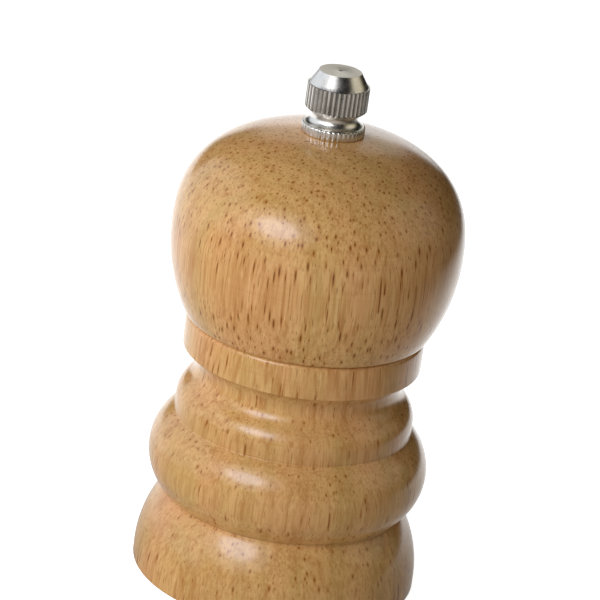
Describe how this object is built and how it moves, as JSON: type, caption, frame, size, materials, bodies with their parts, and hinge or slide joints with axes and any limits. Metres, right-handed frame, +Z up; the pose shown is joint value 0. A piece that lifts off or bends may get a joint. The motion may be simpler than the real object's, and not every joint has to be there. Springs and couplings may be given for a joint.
{
  "type": "salt and pepper mill",
  "caption": "Short turned wooden mill: a ball-shaped head turns a toothed rotor in a stator ring through a square spindle, and a knurled nut on top sets the grind.",
  "frame": {"origin": "middle of the base ring, on the surface that the mill stands on", "axes": "+Z up the spindle towards the adjusting nut, +X along the bridge over the burrs"},
  "size_m": [0.056, 0.056, 0.1032],
  "materials": {
    "body_wood": "honey-coloured rubberwood under clear satin varnish",
    "head_wood": "honey-coloured rubberwood under clear satin varnish",
    "plated_nut": "bright nickel plate, turned and knurled",
    "spindle_steel": "drawn bar",
    "stamped_steel": "stamped sheet",
    "screw_steel": "zinc plate",
    "spring_steel": "drawn wire",
    "ceramic": "opaque unglazed ceramic",
    "nylon": "moulded nylon"
  },
  "bodies": {
    "body": {"body": "body_wood", "stator_carrier": "nylon", "carrier_screws": "screw_steel", "stator_burr": "ceramic", "bridge": "stamped_steel"},
    "thrust_washer": {"thrust_washer": "stamped_steel", "spring": "spring_steel"},
    "spindle": {"spindle": "spindle_steel", "rotor_hub": "nylon", "rotor_burr": "ceramic", "rotor_washer": "stamped_steel", "rotor_nut": "screw_steel", "spring_seat": "stamped_steel"},
    "head": {"head": "head_wood", "drive_plate": "stamped_steel", "drive_plate_screws": "screw_steel"},
    "adjusting_nut": {"adjusting_nut": "plated_nut"}
  },
  "joints": [
    {"name": "head_turn", "type": "hinge", "parent": "body", "child": "thrust_washer", "pos_m": [0, 0, 0], "axis": [0, 0, 1], "continuous": true},
    {"name": "grind_adjust", "type": "slide", "parent": "thrust_washer", "child": "spindle", "axis": [0, 0, 1], "range_m": [-0.0008, 0.0004], "deforming": ["spring"]},
    {"name": "head_lift", "type": "slide", "parent": "thrust_washer", "child": "head", "axis": [0, 0, 1], "range_m": [0, 0.065]},
    {"name": "nut_turn", "type": "hinge", "parent": "head", "child": "adjusting_nut", "pos_m": [0, 0, 0.091], "axis": [0, 0, 1], "range_deg": [-180, 360]}
  ],
  "couplings": [
    {"joint": "nut_turn", "follows": "grind_adjust", "rad_per_m": -7854}
  ]
}
